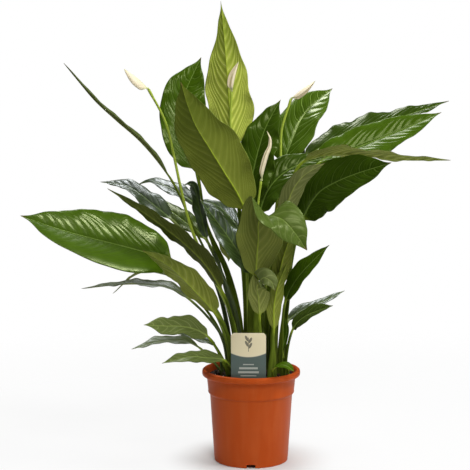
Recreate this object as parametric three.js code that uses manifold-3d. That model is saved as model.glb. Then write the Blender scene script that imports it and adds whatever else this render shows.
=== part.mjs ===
// A peace lily in its plastic nursery pot: folded leaves and hooded flowers on long stalks, planted in
// potting soil, with a blank two-tone label pushed in at the front. Millimetres, +Z up; the origin is the
// middle of the pot's underside, and -Y is the front.

import * as THREE from "three";
import { mergeVertices } from "three/addons/utils/BufferGeometryUtils.js";
import Module from "manifold-3d";

// ---- Driving dimensions -------------------------------------------------------------------------

const POT_HEIGHT = 160;
const RIM_RADIUS = 85;
const FOOT_RADIUS = 63.5;
const WALL = 1.8;
const COLLAR_BOTTOM = 121; // where the straight band under the lip starts
const LIP_BOTTOM = 149;
const POT_SEGMENTS = 36;
const FLOOR_UNDERSIDE = 7; // of the drain channel, between the middle pad and the foot ring
const PAD_RADIUS = 26; // the pot rests on this pad and on its foot ring
const NOTCH = { width: 12, height: 6, count: 4 }; // drain notches through the foot ring
const DRAIN_HOLE = { radius: 5, circle: 43, count: 6 };

const SOIL_TOP = 148;
const SOIL_CROWN = 3; // how much the soil rises towards the plant
const ROOT_DEPTH = 12; // how deep each stalk stands in the soil
const GAP = 0.5; // clearance between neighbouring solids

const STALK_STEPS = 4;
const BLADE_STEPS = 8;
const SIDES = 8;
const BLADE_HALF_THICKNESS = 0.85;
const LEAF_FOLD = 13; // degrees that each half of a blade rises from its midrib
const LEAF_TAPER = 0.98; // how drawn out a blade is towards its tip

const SPATHE_FOLD = 48; // the white hood is folded nearly shut
const FLOWER_STALK = { foot: 3.8, top: 2.2, steps: 9 };
const SPADIX = { radius: 2.3, from: 0.14, to: 0.62, lift: 5, steps: 4 };

const LABEL = { width: 59, height: 80, corner: 8, thickness: 0.9, front: -66.5, bottom: 154, left: -34 };
const STAKE = { width: 16, length: 62, tip: 12 };

// Each leaf: where its stalk leaves the soil (x, y), the points its stalk passes, the points its midrib
// passes from the neck to the tip, the blade's full width, and which way the upper side faces. A leaf
// that folds over has another face at its tip; fold and taper replace the usual ones.
const LEAVES = [
  { name: "tall", foot: [-8, 14], stalk: [[-8, 12, 296], [-20, 14, 426]],
    blade: [[-32, 18, 538], [-38, 20, 614], [-44, 10, 700], [-52, -8, 790]],
    width: 80, face: [0.05, 1, 0.15], taper: 1.35 },
  { name: "broad_front", foot: [-2, -20], stalk: [[0, -28, 302]],
    blade: [[-10, -42, 436], [-52, -66, 516], [-94, -92, 588], [-114, -120, 652]],
    width: 94, face: [-0.08, 0.9, 0.35], fold: 20 },
  { name: "back_left_high", foot: [-20, 24], stalk: [[-26, 26, 276], [-84, 48, 422]],
    blade: [[-96, 56, 498], [-116, 78, 554], [-120, 104, 626], [-90, 124, 700]],
    width: 84, face: [0.1, -0.9, 0.4] },
  { name: "centre_back", foot: [10, 4], stalk: [[2, 2, 298]],
    blade: [[-6, -8, 444], [8, -6, 522], [24, 0, 576], [50, 12, 624]],
    width: 74, face: [-0.2, -0.9, 0.35] },
  { name: "right_high", foot: [22, 22], stalk: [[30, 30, 276], [46, 46, 424]],
    blade: [[56, 54, 510], [72, 64, 554], [96, 80, 602], [144, 100, 644]],
    width: 80, face: [-0.4, -0.8, 0.5] },
  { name: "far_right_upper", foot: [30, 34], stalk: [[40, 56, 272], [62, 90, 420]],
    blade: [[92, 106, 514], [168, 124, 560], [268, 146, 592], [360, 160, 622]],
    width: 66, face: [-0.3, -0.5, 0.8] },
  { name: "far_right_lower", foot: [40, 14], stalk: [[46, 28, 276], [70, 42, 424]],
    blade: [[110, 50, 510], [182, 58, 540], [260, 62, 570], [332, 62, 602]],
    width: 76, face: [-0.25, -0.75, 0.6] },
  { name: "right_flat", foot: [42, -8], stalk: [[42, -10, 282], [60, -12, 428]],
    blade: [[86, -22, 518], [156, -44, 534], [236, -74, 526], [324, -104, 526]],
    width: 58, face: [0, 0.34, 1] },
  { name: "right_dark", foot: [48, 2], stalk: [[62, 4, 280], [72, 2, 366]],
    blade: [[86, -6, 416], [114, -30, 468], [164, -66, 498], [228, -104, 522]],
    width: 84, face: [-0.3, -0.9, 0.35] },
  { name: "right_inner", foot: [16, -8], stalk: [[10, -8, 282]],
    blade: [[14, -8, 428], [34, 0, 478], [70, 8, 508], [128, 18, 526]],
    width: 62, face: [-0.35, -0.8, 0.45] },
  { name: "right_grey", foot: [34, -20], stalk: [[42, -30, 302]],
    blade: [[54, -44, 420], [62, -52, 456], [82, -64, 494], [122, -74, 520]],
    width: 34, face: [0.2, 0.9, 0.3] },
  { name: "front_folded", foot: [4, -36], stalk: [[8, -46, 236]],
    blade: [[8, -64, 326], [12, -86, 394], [20, -106, 438], [54, -128, 428], [90, -138, 382]],
    width: 80, face: [0.1, 1, 0.2], tipFace: [0.15, -1, 0.25], taper: 0.75 },
  { name: "small_right", foot: [50, -16], stalk: [[52, -20, 206]],
    blade: [[58, -30, 282], [78, -44, 324], [104, -58, 356], [130, -72, 384]],
    width: 38, face: [-0.5, -0.7, 0.5] },
  { name: "small_folded", foot: [12, -50], stalk: [],
    blade: [[14, -66, 264], [12, -76, 296], [12, -86, 324], [28, -94, 332], [40, -100, 310]],
    width: 40, face: [0, 1, 0.1], tipFace: [0.15, -1, 0.3], taper: 0.75 },
  { name: "low_right_a", foot: [60, 12], stalk: [[60, 18, 198]],
    blade: [[64, 26, 238], [90, 38, 256], [124, 50, 268], [166, 60, 288]],
    width: 28, face: [0, -0.35, 1] },
  { name: "low_right_b", foot: [56, -26], stalk: [],
    blade: [[70, -38, 234], [88, -50, 258], [112, -66, 272], [136, -84, 284]],
    width: 34, face: [-0.2, -0.6, 0.8] },
  { name: "great_left", foot: [-34, -18], stalk: [[-44, -26, 232], [-84, -40, 298]],
    blade: [[-130, -54, 350], [-186, -74, 374], [-256, -100, 396], [-312, -120, 414], [-372, -140, 438]],
    width: 116, face: [0.15, -0.72, 0.7] },
  { name: "left_under", foot: [-30, -36], stalk: [[-38, -46, 222]],
    blade: [[-60, -62, 266], [-94, -88, 310], [-132, -114, 352], [-176, -138, 382]],
    width: 60, face: [0.4, 0.75, 0.5] },
  { name: "left_long", foot: [-24, -19], stalk: [[-32, -24, 248]],
    blade: [[-50, -38, 302], [-80, -62, 354], [-134, -92, 408], [-182, -114, 446], [-232, -136, 482]],
    width: 52, face: [0.5, 0.6, 0.65] },
  { name: "thin_high_left", foot: [-22, 8], stalk: [[-44, 14, 278], [-96, 22, 396]],
    blade: [[-140, 30, 488], [-194, 38, 554], [-264, 50, 614], [-328, 62, 688]],
    width: 44, face: [0.72, 0, 0.7], fold: 17 },
  { name: "back_left_a", foot: [-32, 18], stalk: [[-52, 44, 272], [-98, 76, 366]],
    blade: [[-142, 94, 410], [-182, 114, 440], [-226, 138, 468], [-278, 160, 474]],
    width: 50, face: [0.2, -0.4, 0.9] },
  { name: "back_left_b", foot: [-14, 34], stalk: [[-40, 60, 270], [-72, 100, 374]],
    blade: [[-96, 120, 430], [-134, 144, 456], [-184, 170, 474], [-218, 192, 464]],
    width: 46, face: [0.15, -0.35, 0.9] },
  { name: "left_inner", foot: [-12, 4], stalk: [[-32, 4, 280]],
    blade: [[-76, 2, 384], [-88, 2, 436], [-102, 0, 480], [-118, -6, 478]],
    width: 32, face: [-0.7, -0.5, 0.4] },
  { name: "striped", foot: [-4, -10], stalk: [[4, -16, 230]],
    blade: [[0, -20, 326], [-26, -22, 372], [-56, -20, 414], [-88, -18, 456]],
    width: 52, face: [0.5, -0.75, 0.5] },
  { name: "silver_back", foot: [2, 26], stalk: [[-10, 44, 274]],
    blade: [[-18, 66, 386], [-38, 74, 418], [-64, 80, 438], [-98, 86, 446]],
    width: 38, face: [0.4, -0.5, 0.8] },
  { name: "low_left_long", foot: [-42, 2], stalk: [[-48, 2, 210]],
    blade: [[-106, 12, 278], [-150, 22, 300], [-214, 40, 302], [-302, 64, 290]],
    width: 42, face: [0.1, -0.15, 1] },
  { name: "low_left_behind", foot: [-38, 22], stalk: [[-52, 42, 210]],
    blade: [[-116, 84, 290], [-166, 108, 314], [-208, 130, 308], [-256, 150, 268]],
    width: 30, face: [0.1, -0.2, 1] },
  { name: "low_left_broad", foot: [-38, -32], stalk: [],
    blade: [[-72, -62, 226], [-106, -80, 246], [-142, -104, 252], [-176, -126, 258]],
    width: 38, face: [0.1, -0.8, 0.6] },
  { name: "low_left_edge", foot: [-50, -14], stalk: [],
    blade: [[-88, -22, 200], [-114, -32, 214], [-154, -48, 216], [-202, -66, 206]],
    width: 32, face: [0, -0.3, 1] },
  { name: "low_left_back", foot: [-50, 8], stalk: [],
    blade: [[-62, 14, 196], [-84, 20, 206], [-108, 28, 212], [-132, 36, 214]],
    width: 22, face: [0, -0.3, 1] },
  { name: "rim_left", foot: [-22, -54], stalk: [],
    blade: [[-44, -60, 186], [-70, -72, 192], [-102, -88, 198], [-148, -106, 190]],
    width: 28, face: [0.1, -0.6, 0.8] },
  { name: "right_olive", foot: [40, -34], stalk: [[36, -42, 234]],
    blade: [[44, -50, 304], [50, -56, 348], [60, -60, 382], [68, -64, 412]],
    width: 32, face: [0, 1, 0.1] },
  { name: "right_strip", foot: [31, -42], stalk: [],
    blade: [[38, -58, 238], [38, -64, 276], [44, -70, 312], [60, -76, 356]],
    width: 26, face: [0, 1, 0.1] },
  { name: "low_right_c", foot: [64, -8], stalk: [],
    blade: [[54, -8, 190], [58, -8, 210], [62, -8, 230], [56, -10, 254]],
    width: 16, face: [-0.7, -0.6, 0.3] },
  { name: "rim_right", foot: [38, -54], stalk: [],
    blade: [[36, -62, 170], [46, -72, 180], [58, -82, 182], [72, -94, 174]],
    width: 22, face: [0, -0.4, 1] },
  { name: "back_right_tip", foot: [26, 44], stalk: [[34, 84, 266], [58, 114, 390]],
    blade: [[70, 128, 462], [80, 134, 500], [96, 138, 544]],
    width: 34, face: [-0.3, -0.8, 0.5] },
  { name: "back_left_low", foot: [-26, 38], stalk: [[-38, 74, 268]],
    blade: [[-82, 130, 370], [-122, 162, 400], [-160, 192, 424], [-198, 220, 440]],
    width: 50, face: [0.15, -0.4, 0.9] },
  { name: "rear_left", foot: [-4, 42], stalk: [[-10, 76, 250]],
    blade: [[-18, 124, 330], [-26, 166, 356], [-36, 214, 354], [-44, 262, 314]],
    width: 62, face: [0, -0.3, 1] },
  { name: "rear_right", foot: [14, 42], stalk: [[22, 72, 250]],
    blade: [[34, 118, 320], [40, 160, 344], [48, 208, 342], [58, 254, 306]],
    width: 58, face: [0, -0.3, 1] },
];

// Each flower: its foot in the soil, the points its stalk passes, the points its spathe's midrib passes
// from the stalk to the tip, the spathe's width laid flat, and which way its open side faces.
const FLOWERS = [
  { name: "a", foot: [-16, -6],
    stalk: [[-32, -8, 246], [-100, -24, 400], [-136, -44, 556], [-156, -54, 624]],
    spathe: [[-170, -58, 640], [-188, -62, 658], [-210, -66, 674]],
    width: 26, face: [-0.4, 0.1, -0.9] },
  { name: "b", foot: [-2, -2],
    stalk: [[-6, 0, 280], [-12, 4, 426], [-34, 8, 550], [-36, 8, 602]],
    spathe: [[-34, 8, 636], [-30, 8, 660], [-22, 6, 688]],
    width: 17, face: [-0.8, -0.5, 0.1] },
  { name: "c", foot: [18, 6],
    stalk: [[22, 10, 278], [42, 24, 426], [52, 34, 538], [54, 36, 586]],
    spathe: [[68, 38, 624], [88, 38, 642], [110, 38, 656]],
    width: 19, face: [0.4, -0.3, -0.8] },
  { name: "d", foot: [20, -28],
    stalk: [[12, -32, 284], [10, -34, 430]],
    spathe: [[16, -36, 486], [26, -38, 524], [34, -38, 554], [26, -40, 572]],
    width: 15, face: [-0.9, -0.2, 0.1] },
];

// ---- Materials ----------------------------------------------------------------------------------

const terracotta = new THREE.MeshStandardMaterial({ color: 0xb9532c, roughness: 0.45, metalness: 0 });
const earth = new THREE.MeshStandardMaterial({ color: 0x2a1c14, roughness: 0.95, metalness: 0 });
const leafGreen = new THREE.MeshStandardMaterial({ color: 0x2f5a14, roughness: 0.35, metalness: 0 });
const stalkGreen = new THREE.MeshStandardMaterial({ color: 0x8fae35, roughness: 0.4, metalness: 0 });
const spatheWhite = new THREE.MeshStandardMaterial({ color: 0xe9dfc6, roughness: 0.5, metalness: 0 });
const spadixCream = new THREE.MeshStandardMaterial({ color: 0xd9cf8f, roughness: 0.7, metalness: 0 });
const labelCard = new THREE.MeshStandardMaterial({ color: 0x51686a, roughness: 0.5, metalness: 0 });

// ---- Solids -------------------------------------------------------------------------------------

const wasm = await Module();
wasm.setup();

function positionsOnly(geometry) {
  const bare = geometry.index ? geometry.clone() : geometry;
  bare.deleteAttribute("normal");
  bare.deleteAttribute("uv");
  return mergeVertices(bare, 1e-3);
}

function toSolid(geometry) {
  const merged = positionsOnly(geometry);
  return new wasm.Manifold(new wasm.Mesh({
    numProp: 3,
    vertProperties: merged.attributes.position.array,
    triVerts: new Uint32Array(merged.index.array),
  }));
}

function toGeometry(solid) {
  const mesh = solid.getMesh();
  return new THREE.BufferGeometry()
    .setAttribute("position", new THREE.BufferAttribute(mesh.vertProperties, 3))
    .setIndex(new THREE.BufferAttribute(mesh.triVerts, 1));
}

function cut(geometry, tools) {
  return toGeometry(tools.reduce((solid, tool) => solid.subtract(toSolid(tool)), toSolid(geometry)));
}

function lathe(points) {
  const geometry = new THREE.LatheGeometry(points.map(([r, z]) => new THREE.Vector2(r, z)), POT_SEGMENTS);
  return geometry.rotateX(Math.PI / 2);
}

function named(name, geometry, material) {
  const mesh = new THREE.Mesh(geometry, material);
  mesh.name = name;
  return mesh;
}

// ---- Pot and soil -------------------------------------------------------------------------------

// The pot's outside, from the foot up to the lip's underside.
const OUTSIDE = [
  [FOOT_RADIUS, 0],
  [71.5, COLLAR_BOTTOM - 3],
  [74.5, COLLAR_BOTTOM],
  [77, LIP_BOTTOM],
];

function pot() {
  const inside = OUTSIDE.slice(1).reverse().map(([r, z]) => [r - WALL, z]);
  const shell = lathe([
    [0, 0],
    [PAD_RADIUS, 0],
    [PAD_RADIUS + 2, FLOOR_UNDERSIDE],
    [FOOT_RADIUS - 5, FLOOR_UNDERSIDE],
    [FOOT_RADIUS - 4, 0],
    ...OUTSIDE,
    [RIM_RADIUS - 2, LIP_BOTTOM],
    [RIM_RADIUS, LIP_BOTTOM + 3],
    [RIM_RADIUS, POT_HEIGHT - 3],
    [RIM_RADIUS - 2.5, POT_HEIGHT],
    [RIM_RADIUS - 5, POT_HEIGHT],
    [RIM_RADIUS - 7, POT_HEIGHT - 3],
    ...inside,
    [FOOT_RADIUS - WALL, FLOOR_UNDERSIDE + WALL],
    [PAD_RADIUS, FLOOR_UNDERSIDE + WALL],
    [PAD_RADIUS - 2, WALL],
    [0, WALL],
  ]);
  const notches = Array.from({ length: NOTCH.count }, (_, i) =>
    new THREE.BoxGeometry(NOTCH.width, 16, 2 * NOTCH.height)
      .translate(0, -FOOT_RADIUS, 0)
      .rotateZ((i * 2 * Math.PI) / NOTCH.count));
  const holes = Array.from({ length: DRAIN_HOLE.count }, (_, i) =>
    new THREE.CylinderGeometry(DRAIN_HOLE.radius, DRAIN_HOLE.radius, 3 * WALL, 12)
      .rotateX(Math.PI / 2)
      .translate(DRAIN_HOLE.circle, 0, FLOOR_UNDERSIDE + WALL / 2)
      .rotateZ(((i + 0.5) * 2 * Math.PI) / DRAIN_HOLE.count));
  return named("nursery_pot", cut(shell, [...notches, ...holes]), terracotta);
}

// The soil fills the pot and is opened where each stalk, and the label's stake, stands in it.
function soil(planted) {
  const inset = WALL + GAP;
  const fill = lathe([
    [0, WALL + GAP],
    [PAD_RADIUS - 3, WALL + GAP],
    [PAD_RADIUS - 1, FLOOR_UNDERSIDE + WALL + GAP],
    [FOOT_RADIUS - inset, FLOOR_UNDERSIDE + WALL + GAP],
    ...OUTSIDE.slice(1, 3).map(([r, z]) => [r - inset, z]),
    [76 - inset, SOIL_TOP - 6],
    [72 - inset, SOIL_TOP - 1],
    [40, SOIL_TOP + SOIL_CROWN],
    [0, SOIL_TOP + SOIL_CROWN],
  ]);
  return named("potting_soil", cut(fill, planted), earth);
}

// ---- Leaves and flowers -------------------------------------------------------------------------

const radians = THREE.MathUtils.degToRad;
const smooth = THREE.MathUtils.smoothstep;
const lerp = THREE.MathUtils.lerp;
const vector = (point) => new THREE.Vector3(...point);

// Wraps a closed cylinder round a curve: section(station) gives, at one station along the curve, the
// half width, the half thickness of the side and of the spine, the fold and the upper side's direction.
function sweep(curve, stations, section) {
  const body = positionsOnly(new THREE.CylinderGeometry(1, 1, 1, SIDES, stations.length - 1));
  const place = body.attributes.position;
  const frames = stations.map((station) => {
    const form = section(station);
    const along = curve.getTangentAt(station.share);
    const up = form.up.clone().addScaledVector(along, -form.up.dot(along)).normalize();
    return { ...form, at: curve.getPointAt(station.share), up, across: along.clone().cross(up) };
  });
  for (let i = 0; i < place.count; i += 1) {
    const x = place.getX(i);
    const z = place.getZ(i);
    const frame = frames[Math.round((place.getY(i) + 0.5) * (stations.length - 1))];
    const onSpine = Math.abs(x) < 0.1;
    const half = onSpine ? frame.spine : frame.side;
    const rise = Math.abs(x) * frame.width * Math.tan(radians(frame.fold)) + z * half;
    const point = frame.at.clone()
      .addScaledVector(frame.across, x * frame.width)
      .addScaledVector(frame.up, rise);
    place.setXYZ(i, point.x, point.y, point.z);
  }
  return body;
}

// How wide a blade is, from 0 to 1, at a share of the way from its neck to its drawn-out tip.
function outline(share, fall) {
  const rise = 0.62;
  const peak = rise / (rise + fall);
  const most = peak ** rise * (1 - peak) ** fall;
  return (share ** rise * (1 - share) ** fall) / most;
}

// Stations closer together near both ends of a blade, where its outline turns fastest.
function bladeStations(neckShare) {
  return Array.from({ length: BLADE_STEPS }, (_, i) => {
    const blade = 0.5 - 0.5 * Math.cos((Math.PI * (i + 1)) / BLADE_STEPS);
    return { blade, share: lerp(neckShare, 1, blade) };
  });
}

function plantedCurve(foot, points) {
  const root = [[...foot, SOIL_TOP - ROOT_DEPTH], [...foot, SOIL_TOP + 4]];
  return new THREE.CatmullRomCurve3([...root, ...points].map(vector), false, "centripetal");
}

// A leaf grows as one piece: a round stalk that runs on under the blade as its midrib.
function leafGeometry(leaf, extra = 0) {
  const { foot, stalk, blade, width, face, tipFace = face, fold = LEAF_FOLD, taper = LEAF_TAPER } = leaf;
  const curve = plantedCurve(foot, [...stalk, ...blade]);
  const lengths = curve.getLengths(400);
  const neckAt = (2 + stalk.length) / (1 + stalk.length + blade.length);
  const neckShare = lengths[Math.round(neckAt * 400)] / lengths[400];
  const footRadius = 2 + 0.024 * width + extra;
  const neckRadius = 1.5 + 0.015 * width + extra;
  const stalkStations = Array.from({ length: STALK_STEPS + 1 }, (_, i) => (
    { blade: 0, share: (neckShare * i) / STALK_STEPS }));
  return sweep(curve, [...stalkStations, ...bladeStations(neckShare)], ({ blade: s, share }) => {
    const radius = lerp(footRadius, neckRadius, Math.min(1, share / neckShare));
    const open = smooth(s, 0, 0.12);
    return {
      width: Math.max(lerp(radius, 0.5, s), (width / 2) * outline(s, taper)),
      side: lerp(radius, BLADE_HALF_THICKNESS, open),
      spine: lerp(radius, 0.5, s),
      fold: fold * open,
      up: vector(face).lerp(vector(tipFace), s),
    };
  });
}

function flowerParts({ name, foot, stalk, spathe, width, face }) {
  const stalkCurve = plantedCurve(foot, [...stalk, spathe[0]]);
  const steps = Array.from({ length: FLOWER_STALK.steps + 1 }, (_, i) => ({ share: i / FLOWER_STALK.steps }));
  const stalkGeometry = (extra) => sweep(stalkCurve, steps, ({ share }) => {
    const radius = lerp(FLOWER_STALK.foot, FLOWER_STALK.top, share) + extra;
    return { width: radius, side: radius, spine: radius, fold: 0, up: vector(face) };
  });

  const end = stalkCurve.getPointAt(1);
  const start = end.clone().addScaledVector(stalkCurve.getTangentAt(1), 3 * GAP);
  const hoodCurve = new THREE.CatmullRomCurve3([start, ...spathe.slice(1).map(vector)], false, "centripetal");
  const hoodStations = [{ blade: 0, share: 0 }, ...bladeStations(0)];
  const hood = sweep(hoodCurve, hoodStations, ({ blade: s }) => ({
    width: Math.max(lerp(FLOWER_STALK.top, 0.4, s), (width / 2) * outline(s, LEAF_TAPER)),
    side: lerp(FLOWER_STALK.top, 0.6, smooth(s, 0, 0.08)),
    spine: lerp(FLOWER_STALK.top, 0.5, s),
    fold: SPATHE_FOLD * smooth(s, 0, 0.12),
    up: vector(face),
  }));

  const spikeStations = Array.from({ length: SPADIX.steps + 1 }, (_, i) => (
    { end: i / SPADIX.steps, share: lerp(SPADIX.from, SPADIX.to, i / SPADIX.steps) }));
  const spike = sweep(hoodCurve, spikeStations, ({ end: s }) => {
    const radius = SPADIX.radius * (1 - 0.75 * s ** 3) * lerp(0.7, 1, smooth(s, 0, 0.3));
    return { width: radius, side: radius, spine: radius, fold: 0, up: vector(face) };
  });
  const middle = hoodCurve.getTangentAt(0.4);
  const lift = vector(face).addScaledVector(middle, -vector(face).dot(middle)).setLength(SPADIX.lift);
  spike.translate(lift.x, lift.y, lift.z);

  return {
    pieces: [
      named(`flower_${name}_stalk`, stalkGeometry(0), stalkGreen),
      named(`flower_${name}_spathe`, hood, spatheWhite),
      named(`flower_${name}_spadix`, spike, spadixCream),
    ],
    socket: stalkGeometry(GAP),
  };
}

// ---- Label --------------------------------------------------------------------------------------

function labelGeometry(extra = 0) {
  const right = LABEL.left + LABEL.width;
  const top = LABEL.bottom + LABEL.height;
  const middle = LABEL.left + LABEL.width / 2;
  const stakeHalf = STAKE.width / 2 + extra;
  const card = new THREE.Shape();
  card.moveTo(middle, LABEL.bottom - STAKE.length - extra);
  card.lineTo(middle + stakeHalf, LABEL.bottom - STAKE.length + STAKE.tip - extra);
  card.lineTo(middle + stakeHalf, LABEL.bottom);
  card.lineTo(right, LABEL.bottom);
  card.lineTo(right, top - LABEL.corner);
  card.absarc(right - LABEL.corner, top - LABEL.corner, LABEL.corner, 0, Math.PI / 2);
  card.absarc(LABEL.left + LABEL.corner, top - LABEL.corner, LABEL.corner, Math.PI / 2, Math.PI);
  card.lineTo(LABEL.left, LABEL.bottom);
  card.lineTo(middle - stakeHalf, LABEL.bottom);
  card.lineTo(middle - stakeHalf, LABEL.bottom - STAKE.length + STAKE.tip - extra);
  card.closePath();
  const depth = LABEL.thickness + 2 * extra;
  return new THREE.ExtrudeGeometry(card, { depth, bevelEnabled: false, curveSegments: 5 })
    .rotateX(Math.PI / 2)
    .translate(0, LABEL.front + LABEL.thickness + extra, 0);
}

// ---- The plant ----------------------------------------------------------------------------------

const plant = new THREE.Group();
const flowers = FLOWERS.map(flowerParts);
const sockets = [
  ...LEAVES.map((leaf) => leafGeometry(leaf, GAP)),
  ...flowers.map((flower) => flower.socket),
  labelGeometry(GAP),
];

plant.add(pot(), soil(sockets), named("plant_label", labelGeometry(), labelCard));
LEAVES.forEach((leaf) => plant.add(named(`leaf_${leaf.name}`, leafGeometry(leaf), leafGreen)));
flowers.forEach((flower) => plant.add(...flower.pieces));

export default plant;
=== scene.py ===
"""Potted peace lily: leaves, flowers, pot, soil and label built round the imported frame.

Metres, +Z up, front at -Y."""

import math

import bmesh
import bpy
import numpy as np
from bpy.props import FloatProperty, FloatVectorProperty, IntProperty, PointerProperty
from bpy.types import Operator, Panel, PropertyGroup
from mathutils import Euler, Matrix, Vector, noise


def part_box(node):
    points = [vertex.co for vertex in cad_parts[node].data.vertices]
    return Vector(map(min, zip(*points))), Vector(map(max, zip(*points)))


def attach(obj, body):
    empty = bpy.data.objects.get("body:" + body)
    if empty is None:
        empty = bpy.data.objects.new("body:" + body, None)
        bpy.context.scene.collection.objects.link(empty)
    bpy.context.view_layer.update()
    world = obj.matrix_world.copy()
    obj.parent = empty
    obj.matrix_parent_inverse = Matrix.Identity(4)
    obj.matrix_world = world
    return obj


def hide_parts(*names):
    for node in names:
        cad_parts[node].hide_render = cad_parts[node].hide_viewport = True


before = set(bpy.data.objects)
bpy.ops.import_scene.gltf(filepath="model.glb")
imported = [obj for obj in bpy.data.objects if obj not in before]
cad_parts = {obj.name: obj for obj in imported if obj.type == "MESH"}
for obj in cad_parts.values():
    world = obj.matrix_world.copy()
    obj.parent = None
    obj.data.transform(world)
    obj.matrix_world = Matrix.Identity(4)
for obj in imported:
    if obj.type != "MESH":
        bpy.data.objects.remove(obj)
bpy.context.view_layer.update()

bl_info = {
    "name": "Peace Lily Builder",
    "version": (1, 0, 0),
    "blender": (4, 5, 0),
    "location": "3D View > Sidebar > Peace Lily",
    "description": "Builds a potted peace lily with its leaves, flowers, soil and label",
    "category": "Add Mesh",
}

MM = 0.001


def tint(red, green, blue):
    """A colour as seen on screen, 0 to 255, in the linear values that shaders use."""
    return tuple(((c / 255 + 0.055) / 1.055) ** 2.4 if c > 10 else c / 3294.6 for c in (red, green, blue))


# ---- Sizes and colours that a user would change ----


def colour(name, description, default):
    return FloatVectorProperty(name=name, description=description, default=default, subtype="COLOR",
                               min=0.0, max=1.0)


def length(name, description, millimetres):
    return FloatProperty(name=name, description=description, default=millimetres * MM, min=0.0,
                         subtype="DISTANCE", unit="LENGTH", precision=5)


def share(name, description, default, most=1.0):
    return FloatProperty(name=name, description=description, default=default, min=0.0, max=most,
                         subtype="FACTOR")


def slant(name, description, degrees):
    return FloatProperty(name=name, description=description, default=math.radians(degrees),
                         subtype="ANGLE", unit="ROTATION")


def power(name, watts):
    return FloatProperty(name=name, description="Power in watts", default=watts, min=0)


class PotSettings(PropertyGroup):
    plastic: colour("Plastic", "Colour of the moulded pot", tint(188, 78, 26))
    worn: colour("Worn edge", "Paler colour where the plastic is handled", tint(202, 108, 58))
    dust: colour("Dust", "Dry soil dust that clings to the wall", tint(150, 92, 62))
    gloss: share("Roughness", "How matt the plastic is", 0.36)
    rounding: length("Rounding", "Radius of the moulded edges", 0.6)
    bead: length("Bead", "How far the bead under the band stands out", 0.9)


class SoilSettings(PropertyGroup):
    earth: colour("Earth", "Moist potting soil", tint(40, 27, 19))
    fibre: colour("Fibre", "Drier fibre and bark in the soil", tint(96, 68, 45))
    grain: colour("Grain", "White drainage grains", tint(214, 206, 190))
    relief: length("Relief", "Height of the lumps in the surface", 3.0)
    slope: length("Slope", "How far the soil drops to the wall", 1.5)
    crumbs: IntProperty(name="Crumbs", description="Loose crumbs on the soil", default=520, min=0)
    grains: IntProperty(name="Grains", description="White grains on the soil", default=110, min=0)


class LabelSettings(PropertyGroup):
    cream: colour("Upper panel", "Cream upper panel", tint(232, 220, 182))
    slate: colour("Lower panel", "Slate lower panel", tint(84, 100, 94))
    print_dark: colour("Dark print", "Print on the cream panel", tint(62, 64, 54))
    card: length("Card height", "Height of the card above its stake", 80)
    corner: length("Corner", "Radius of the card's upper corners", 6.5)
    stake_width: length("Stake width", "Width of the stake", 16)


class LeafSettings(PropertyGroup):
    # Tone mixes the upper colours and pale mixes the underside colours, leaf by leaf. Each is partly the
    # leaf's own green and partly painted light falling on the leaf and shining through it.
    upper_dark: colour("Upper side, dark", "Upper side of an old leaf", tint(24, 40, 4))
    upper_bright: colour("Upper side, bright", "Upper side of a young leaf", tint(64, 94, 2))
    upper_vein: colour("Upper veins", "Veins seen on the upper side", tint(136, 164, 76))
    under_olive: colour("Underside, olive", "Underside of an old leaf", tint(60, 73, 5))
    under_pale: colour("Underside, pale", "Underside of a young leaf", tint(204, 214, 92))
    # This grey is a painted sheen: a greyed skin that stands in for light glancing off the leaf.
    grey_sheen: colour("Faded", "Greyed skin of an old leaf", tint(118, 124, 76))
    midrib: colour("Midrib", "Midrib and neck of the stalk", tint(160, 180, 52))
    stalk: colour("Stalk", "Stalk of a leaf", tint(44, 60, 8))
    stalk_foot: colour("Stalk foot", "Sheath at the foot of a stalk", tint(78, 90, 28))
    dry_tip: colour("Tip", "Dry last millimetres of a leaf", tint(92, 74, 40))
    thickness: length("Thickness", "Thickness of a blade beside its midrib", 0.7)
    rib_spacing: length("Rib spacing", "Distance between side veins along the midrib", 18.5)
    row: length("Row", "Length of one row of faces on a blade", 1.9)


class FlowerSettings(PropertyGroup):
    spathe: colour("Spathe", "The white hood", tint(228, 215, 186))
    spathe_green: colour("Spathe green", "Green at the hood's foot, tip and back", tint(160, 178, 92))
    spathe_fleck: colour("Spathe fleck", "Tan flecks on an ageing hood", tint(196, 170, 128))
    stalk: colour("Stalk", "Flower stalk", tint(158, 180, 46))
    spike: colour("Spike", "Cream spike in the hood", tint(226, 214, 160))
    # Spike pits is painted shade: a darker cream for the hollows between the small flowers.
    spike_pit_shade: colour("Spike pits", "Between the spike's small flowers", tint(204, 192, 136))


class StageSettings(PropertyGroup):
    floor: colour("Floor", "Plain pale floor", (0.74, 0.74, 0.735))
    floor_shine: share("Floor shine", "How much of the floor's paleness is its own light", 0.86)
    floor_reach: length("Floor reach", "Radius at which the floor has faded into the surround", 1400)
    sky: share("Surround", "Strength of the white surround", 0.24, 4.0)
    distance: length("Camera distance", "Camera to the pot's axis", 2200)
    height: length("Camera height", "Camera above the floor", 620)
    pitch: slant("Pitch", "How far the camera looks down", 5.9)
    turn: slant("Turn", "How far the camera turns left", 0.73)
    lens: FloatProperty(name="Lens", description="Focal length in millimetres", default=98.65, min=10)
    key: power("Key light", 24)
    side: power("Side light", 9)
    top: power("Top light", 12)
    back: power("Back light", 22)
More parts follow.
